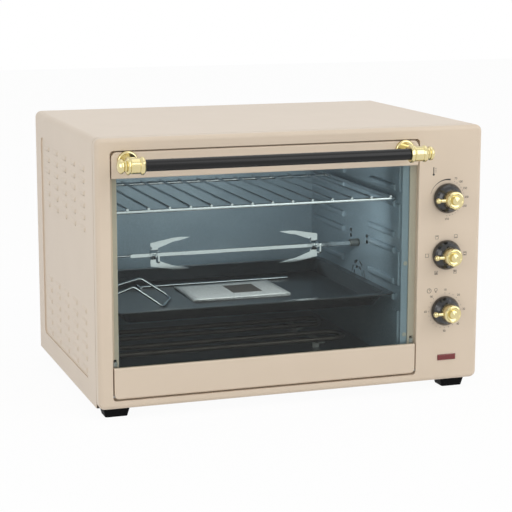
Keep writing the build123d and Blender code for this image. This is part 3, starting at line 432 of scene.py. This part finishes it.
@dataclass
class PanelPrint(Part):
    """Plain printed marks just proud of the control panel, sizes in millimetres."""

    lift: float = 0.05
    thick: float = 0.04
    dot_size: float = 0.45
    wedge_radius: float = 25.5
    wedge_start: float = -75.0
    wedge_sweep: float = 85.0
    wedge_steps: int = 24
    wedge_thin: float = 0.25
    wedge_growth: float = 1.9
    mode_angles: tuple[float, ...] = (-90, -30, 30, 90, 150, 210)
    mode_radius: float = 28.5
    mode_half: float = 2.3
    mode_line: float = 0.4
    mode_bar_half: float = 1.5
    mode_bar_rise: float = 1.3
    mode_bar: float = 0.6

    def build(self) -> None:
        """Make one print piece for each dial."""
        panel_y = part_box("front_frame")[0][1]
        for scale in SCALES:
            low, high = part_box(scale.node)
            middle = [(a + b) / 2 for a, b in zip(low, high)]
            centre = Vector((middle[0], panel_y - self.lift * MM, middle[2]))
            bm = bmesh.new()
            self._dots(bm, centre, scale)
            for angle, text in scale.marks:
                self._text(bm, self._spot(centre, scale.label_radius, angle), text, scale.letter)
            if scale.node == "thermostat_dial":
                self._wedge(bm, centre)
                self._thermometer(bm, centre)
            elif scale.node == "timer_dial":
                self._clock(bm, centre)
            else:
                self._modes(bm, centre)
            name = scale.node.replace("dial", "print")
            self.mesh(name, bm, self.shop.get(INK), "black_matte", Body.CASING, smooth=False)

    def _spot(self, centre: Vector, radius: float, angle: float) -> Vector:
        """Point on the panel at a radius in millimetres and a clockwise angle."""
        turn = math.radians(angle)
        return centre + Vector((math.sin(turn), 0, math.cos(turn))) * radius * MM

    def _bar(self, bm: bmesh.types.BMesh, a: Vector, b: Vector, width: float) -> None:
        """Add a flat printed line.

        Args:
            bm: Mesh of the print.
            a: Its start.
            b: Its end.
            width: Its width in millimetres.
        """
        along = (b - a).normalized()
        side = along.cross(Vector((0, 1, 0))) * width * MM / 2
        corners = [a + side, b + side, b - side, a - side]
        face = bm.faces.new([bm.verts.new(c) for c in corners])
        raised = bmesh.ops.extrude_face_region(bm, geom=[face])
        moved = [v for v in raised["geom"] if isinstance(v, bmesh.types.BMVert)]
        bmesh.ops.translate(bm, vec=Vector((0, -self.thick * MM, 0)), verts=moved)

    def _disc(self, bm: bmesh.types.BMesh, centre: Vector, radius: float, sides: int = 16) -> None:
        """Add a flat printed dot.

        Args:
            bm: Mesh of the print.
            centre: Its middle.
            radius: Its radius in millimetres.
            sides: Number of its sides.
        """
        place = Matrix.Translation(centre) @ Matrix.Rotation(math.radians(90), 4, "X")
        size = radius * MM
        bmesh.ops.create_cone(bm, cap_ends=True, segments=sides, radius1=size, radius2=size,
                              depth=self.thick * MM, matrix=place)

    def _ring(self, bm: bmesh.types.BMesh, centre: Vector, radius: float, width: float,
              sides: int = 24) -> None:
        """Add a printed circle line.

        Args:
            bm: Mesh of the print.
            centre: Its middle.
            radius: Its radius in millimetres.
            width: Width of the line in millimetres.
            sides: Number of short lines in it.
        """
        for index in range(sides):
            start = self._spot(centre, radius, 360 * index / sides)
            end = self._spot(centre, radius, 360 * (index + 1) / sides)
            self._bar(bm, start, end, width)

    def _dots(self, bm: bmesh.types.BMesh, centre: Vector, scale: DialScale) -> None:
        """Add the small dots along a scale.

        Args:
            bm: Mesh of the print.
            centre: Middle of the dial on the panel.
            scale: The scale printed.
        """
        first, last = scale.dot_span
        for index in range(scale.dots):
            angle = first + (last - first) * index / (scale.dots - 1)
            self._disc(bm, self._spot(centre, scale.dot_radius, angle), self.dot_size, 10)

    def _text(self, bm: bmesh.types.BMesh, place: Vector, text: str, height: float) -> None:
        """Write a few characters centred on a point.

        Args:
            bm: Mesh of the print.
            place: Their middle.
            text: The characters.
            height: Their height in millimetres.
        """
        curve = bpy.data.curves.new("letters", "FONT")
        curve.body = text
        curve.size = height * MM
        curve.align_x = "CENTER"
        curve.align_y = "CENTER"
        curve.extrude = self.thick * MM
        letters = bpy.data.objects.new("letters", curve)
        bpy.context.scene.collection.objects.link(letters)
        bpy.context.view_layer.update()
        data = bpy.data.meshes.new_from_object(letters)
        data.transform(Matrix.Translation(place) @ Matrix.Rotation(math.radians(90), 4, "X"))
        bm.from_mesh(data)
        bpy.data.objects.remove(letters)
        bpy.data.curves.remove(curve)
        bpy.data.meshes.remove(data)

    def _wedge(self, bm: bmesh.types.BMesh, centre: Vector) -> None:
        """Add the band that widens with temperature round the upper left of the dial.

        Args:
            bm: Mesh of the print.
            centre: Middle of the dial on the panel.
        """
        step = self.wedge_sweep / self.wedge_steps
        for index in range(self.wedge_steps):
            angle = self.wedge_start + index * step
            start = self._spot(centre, self.wedge_radius, angle)
            end = self._spot(centre, self.wedge_radius, angle + step)
            share = index / self.wedge_steps
            self._bar(bm, start, end, self.wedge_thin + self.wedge_growth * share ** 1.5)

    def _thermometer(self, bm: bmesh.types.BMesh, centre: Vector) -> None:
        """Add the small thermometer sign over the dial.

        Args:
            bm: Mesh of the print.
            centre: Middle of the dial on the panel.
        """
        foot = centre + Vector((-21, 0, 33)) * MM
        self._disc(bm, foot, 1.6)
        self._bar(bm, foot, foot + Vector((0, 0, 10)) * MM, 1.3)
        for index in range(3):
            mark = foot + Vector((2.2, 0, 3.5 + 2.4 * index)) * MM
            self._bar(bm, mark, mark + Vector((1.8, 0, 0)) * MM, 0.5)

    def _clock(self, bm: bmesh.types.BMesh, centre: Vector) -> None:
        """Add the small clock face and lamp sign over the dial.

        Args:
            bm: Mesh of the print.
            centre: Middle of the dial on the panel.
        """
        face = centre + Vector((-24, 0, 29)) * MM
        self._ring(bm, face, 3.0, 0.6)
        self._bar(bm, face, face + Vector((0, 0, 2.2)) * MM, 0.5)
        self._bar(bm, face, face + Vector((1.6, 0, 0)) * MM, 0.5)
        lamp = centre + Vector((-14, 0, 30)) * MM
        self._ring(bm, lamp, 2.1, 0.5, 16)
        self._bar(bm, lamp + Vector((-0.9, 0, -3.2)) * MM, lamp + Vector((0.9, 0, -3.2)) * MM, 1.2)

    def _modes(self, bm: bmesh.types.BMesh, centre: Vector) -> None:
        """Add the square heat-mode signs, with bars over or under and a dot in some.

        Args:
            bm: Mesh of the print.
            centre: Middle of the dial on the panel.
        """
        half = self.mode_half
        square = ((-half, -half), (half, -half), (half, half), (-half, half))
        corners = [Vector((x, 0, z)) * MM for x, z in square]
        for index, angle in enumerate(self.mode_angles):
            spot = self._spot(centre, self.mode_radius, angle)
            for a, b in zip(corners, corners[1:] + corners[:1]):
                self._bar(bm, spot + a, spot + b, self.mode_line)
            if index in (1, 3, 4):
                self._mode_bar(bm, spot, self.mode_bar_rise)
            if index in (2, 3, 5):
                self._mode_bar(bm, spot, -self.mode_bar_rise)
            if index in (4, 5):
                self._disc(bm, spot, 0.9)

    def _mode_bar(self, bm: bmesh.types.BMesh, spot: Vector, rise: float) -> None:
        """Add a short bar above or below the middle of a mode sign.

        Args:
            bm: Mesh of the print.
            spot: Middle of the sign.
            rise: Height of the bar over it in millimetres.
        """
        left = spot + Vector((-self.mode_bar_half, 0, rise)) * MM
        right = spot + Vector((self.mode_bar_half, 0, rise)) * MM
        self._bar(bm, left, right, self.mode_bar)


@dataclass
class Leaflet(Part):
    """Printed leaflet of a few loose pages in the tray."""

    sheets: int = 4
    columns: int = 14
    rows: int = 10
    page_share: float = 0.975
    page_mm: float = 0.12
    page_turn: float = 0.5
    curl_start: float = 0.55
    curl_least: float = 0.25
    curl_rise: float = 3.84

    def build(self) -> None:
        """Stack slightly lifted pages in the space of the plain booklet."""
        low, high = (Vector(c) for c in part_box("booklet"))
        bm = bmesh.new()
        for level in range(self.sheets):
            self._page(bm, low, high, level)
        material = self.shop.printed_paper((low + high) / 2, high - low)
        piece = self.mesh("leaflet_pages", bm, material, "paper", Body.TRAY)
        thickness = piece.modifiers.new("page_thickness", "SOLIDIFY")
        thickness.thickness = self.page_mm * MM
        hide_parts("booklet")

    def _page(self, bm: bmesh.types.BMesh, low: Vector, high: Vector, level: int) -> None:
        """Add one page of the stack as a grid that curls up at its right edge.

        Args:
            bm: Mesh of the pages.
            low: Lowest corner of the booklet's space.
            high: Highest corner of it.
            level: Number of the page, 0 at the bottom.
        """
        centre = (low + high) / 2
        size = high - low
        rest = low.z + size.z * level / self.sheets
        share = self.curl_least + (1 - self.curl_least) * level / self.sheets
        curl = size.z * share / self.sheets * self.curl_rise
        middle = (self.sheets - 1) / 2
        turn = Matrix.Rotation(math.radians(self.page_turn * (level - middle)), 3, "Z")
        page = bmesh.ops.create_grid(bm, x_segments=self.columns, y_segments=self.rows, size=0.5)
        for vert in page["verts"]:
            lift = curl * max(0.0, vert.co.x + 0.5 - self.curl_start) ** 2
            flat = turn @ Vector((vert.co.x * size.x, vert.co.y * size.y, 0)) * self.page_share
            vert.co = Vector((centre.x + flat.x, centre.y + flat.y, rest + lift))


@dataclass(frozen=True)
class Lamp:
    """One soft rectangular lamp, places and sizes in metres, power in watts."""

    name: str
    place: tuple[float, float, float]
    size: tuple[float, float]
    power: float
    aim_at: tuple[float, float, float] = (0.0, 0.0, 0.18)
    glossy: bool = True


LAMPS = (
    Lamp("key", (1.5, -1.9, 1.5), (2.3, 2.3), 26),
    Lamp("fill", (-1.9, -1.2, 0.9), (1.0, 1.4), 9),
    Lamp("top", (0.1, 0.1, 2.0), (1.6, 1.2), 3),
    Lamp("cavity", (-0.05, -0.14, 0.25), (0.32, 0.05), 0.6, (-0.09, 0.18, 0.19), glossy=False),
)


@dataclass
class Studio:
    """Camera, floor, backdrop and soft lights like the photograph's."""

    camera_azimuth: float = -18.97
    camera_elevation: float = 10.76
    camera_distance: float = 2.30525
    camera_roll: float = 0.07
    lens: float = 113.96
    sensor: float = 36.0
    clip_near: float = 0.05
    target_mm: tuple[float, float, float] = (0.41, 2.75, 173.9)
    floor_half: float = 6.0
    floor_glow: float = 0.95
    floor_grey: float = 0.9
    room_low: float = 0.5
    room_high: float = 0.95
    room_high_at: float = 0.9
    room_strength: float = 0.75

    def build(self) -> None:
        """Set up everything around the object."""
        self._camera()
        self._floor()
        self._world()
        self._lights()

    def _camera(self) -> None:
        """Place the fitted camera."""
        azimuth = math.radians(self.camera_azimuth)
        elevation = math.radians(self.camera_elevation)
        level = math.cos(elevation)
        back = Vector((math.sin(azimuth) * level, -math.cos(azimuth) * level, math.sin(elevation)))
        data = bpy.data.cameras.new("camera")
        data.lens = self.lens
        data.sensor_width = self.sensor
        data.clip_start = self.clip_near
        camera = bpy.data.objects.new("camera", data)
        bpy.context.scene.collection.objects.link(camera)
        camera.location = Vector(self.target_mm) * MM + back * self.camera_distance
        aim = back.to_track_quat("Z", "Y")
        roll = Matrix.Rotation(math.radians(self.camera_roll), 3, "Z")
        camera.rotation_euler = (aim.to_matrix() @ roll).to_euler()
        bpy.context.scene.camera = camera

    def _floor(self) -> None:
        """Pale floor that stays nearly white and takes a faint shadow."""
        data = bpy.data.meshes.new("floor")
        bm = bmesh.new()
        bmesh.ops.create_grid(bm, x_segments=1, y_segments=1, size=self.floor_half)
        bm.to_mesh(data)
        bm.free()
        floor = bpy.data.objects.new("floor", data)
        bpy.context.scene.collection.objects.link(floor)
        material, tree = blank_material("studio_floor")
        diffuse = add_node(tree, "ShaderNodeBsdfDiffuse", {"Color": (*[self.floor_grey] * 3, 1)})
        glow = add_node(tree, "ShaderNodeEmission", {"Color": (1, 1, 1, 1), "Strength": 1.0})
        share = add_node(tree, "ShaderNodeMath", {0: self._seen(tree), 1: self.floor_glow},
                         operation="MULTIPLY")
        mix = add_node(tree, "ShaderNodeMixShader", {
            0: share.outputs["Value"], 1: diffuse.outputs["BSDF"], 2: glow.outputs["Emission"]})
        add_node(tree, "ShaderNodeOutputMaterial", {"Surface": mix.outputs["Shader"]})
        data.materials.append(material)

    def _seen(self, tree: bpy.types.NodeTree) -> bpy.types.NodeSocket:
        """Find the rays that show the background: camera, mirror and glass rays.

        Args:
            tree: Node tree to add to.

        Returns:
            A socket that is 1 for them.
        """
        path = add_node(tree, "ShaderNodeLightPath")
        mirror = add_node(tree, "ShaderNodeMath", {
            0: path.outputs["Is Camera Ray"], 1: path.outputs["Is Glossy Ray"]},
            operation="MAXIMUM")
        every = add_node(tree, "ShaderNodeMath", {
            0: mirror.outputs["Value"], 1: path.outputs["Is Transmission Ray"]},
            operation="MAXIMUM")
        return every.outputs["Value"]

    def _world(self) -> None:
        """Make the world white for the rays that show it, and a soft room for all others."""
        world = bpy.data.worlds.new("studio")
        bpy.context.scene.world = world
        world.use_nodes = True
        tree = world.node_tree
        tree.nodes.clear()
        coords = add_node(tree, "ShaderNodeTexCoord")
        height = add_node(tree, "ShaderNodeSeparateXYZ", {"Vector": coords.outputs["Generated"]})
        ramp = add_node(tree, "ShaderNodeValToRGB", {"Fac": height.outputs["Z"]})
        ramp.color_ramp.elements[0].position = 0.0
        ramp.color_ramp.elements[0].color = (*[self.room_low] * 3, 1)
        ramp.color_ramp.elements[1].position = self.room_high_at
        ramp.color_ramp.elements[1].color = (*[self.room_high] * 3, 1)
        room = add_node(tree, "ShaderNodeBackground", {
            "Color": ramp.outputs["Color"], "Strength": self.room_strength})
        white = add_node(tree, "ShaderNodeBackground", {"Color": (1, 1, 1, 1), "Strength": 1.0})
        mix = add_node(tree, "ShaderNodeMixShader", {
            0: self._seen(tree), 1: room.outputs["Background"], 2: white.outputs["Background"]})
        add_node(tree, "ShaderNodeOutputWorld", {"Surface": mix.outputs["Shader"]})

    def _lights(self) -> None:
        """Hang the key, fill and top lamps and the small lamp in the cavity."""
        for lamp in LAMPS:
            data = bpy.data.lights.new(lamp.name, "AREA")
            data.shape = "RECTANGLE"
            data.size, data.size_y = lamp.size
            data.energy = lamp.power
            light = bpy.data.objects.new(lamp.name, data)
            bpy.context.scene.collection.objects.link(light)
            light.location = lamp.place
            light.visible_camera = False
            light.visible_glossy = lamp.glossy
            aim = Vector(lamp.place) - Vector(lamp.aim_at)
            light.rotation_euler = aim.to_track_quat("Z", "Y").to_euler()


def main() -> None:
    """Build the whole scene."""
    logging.basicConfig(level=logging.INFO)
    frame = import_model()
    shop = MaterialShop()
    for part in (CadFinishes, PanelPrint, Leaflet):
        part(frame, shop).build()
    Studio().build()
    bpy.context.scene.view_settings.view_transform = "Standard"


if __name__ == "__main__":
    main()
